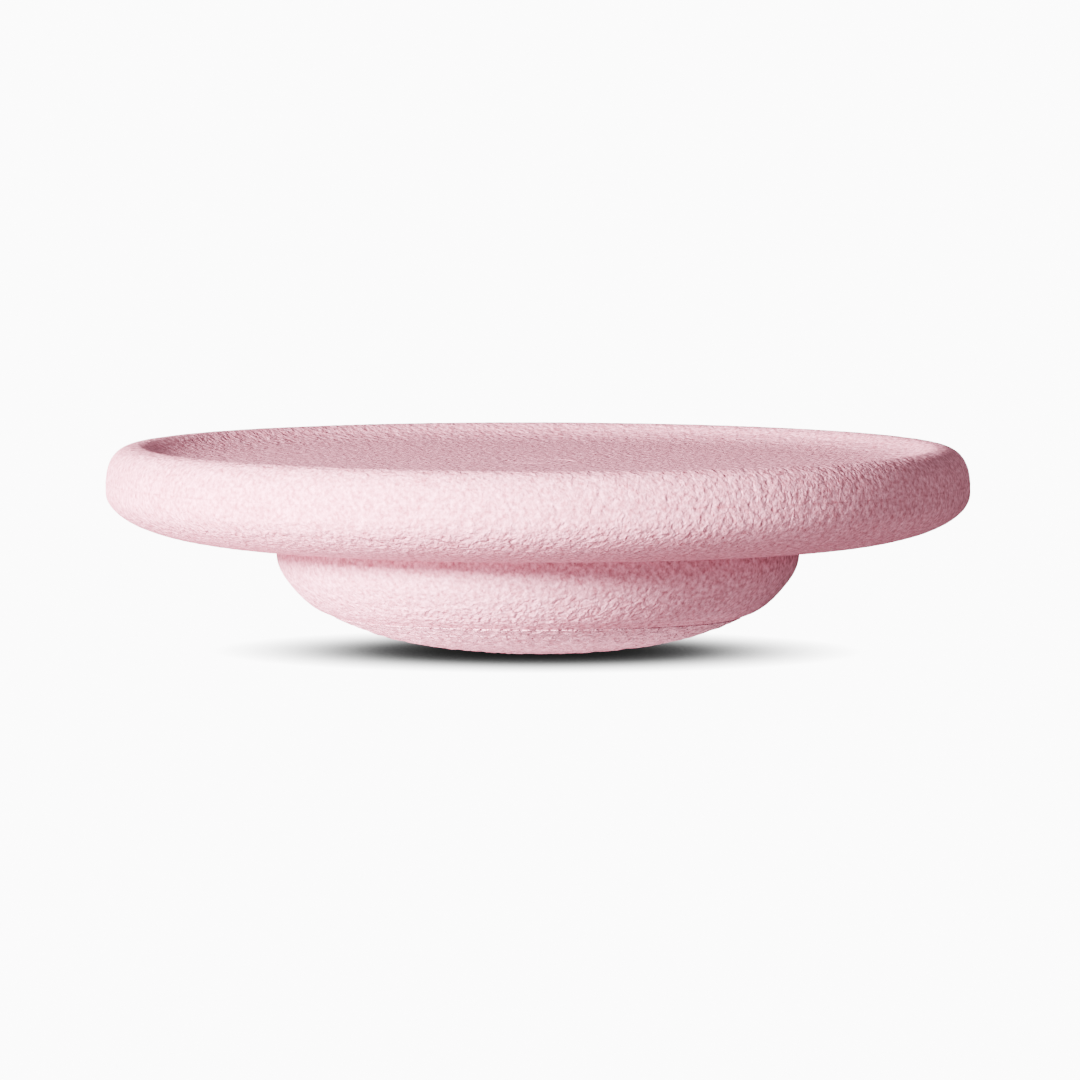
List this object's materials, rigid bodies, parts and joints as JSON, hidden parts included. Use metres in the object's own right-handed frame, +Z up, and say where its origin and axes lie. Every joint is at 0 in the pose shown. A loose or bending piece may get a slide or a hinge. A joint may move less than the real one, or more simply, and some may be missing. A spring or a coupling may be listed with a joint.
{
  "type": "balance board",
  "caption": "Round foam balance board: a dished deck with a thick rolled rim on a shallow domed base that rocks, tilts and turns on the floor.",
  "frame": {"origin": "centre of the small flat foot at the bottom of the domed base, which rests on the floor", "axes": "+Z up through the middle of the deck; the board is round, so +X and +Y are any two level directions at right angles"},
  "size_m": [0.38, 0.38, 0.09],
  "materials": {
    "bead_foam": "pale pink moulded bead foam, matt, with a fine leathery grain"
  },
  "bodies": {
    "root": {"deck": "bead_foam", "rocker_dome": "bead_foam", "rocker_cap": "bead_foam"}
  },
  "joints": []
}
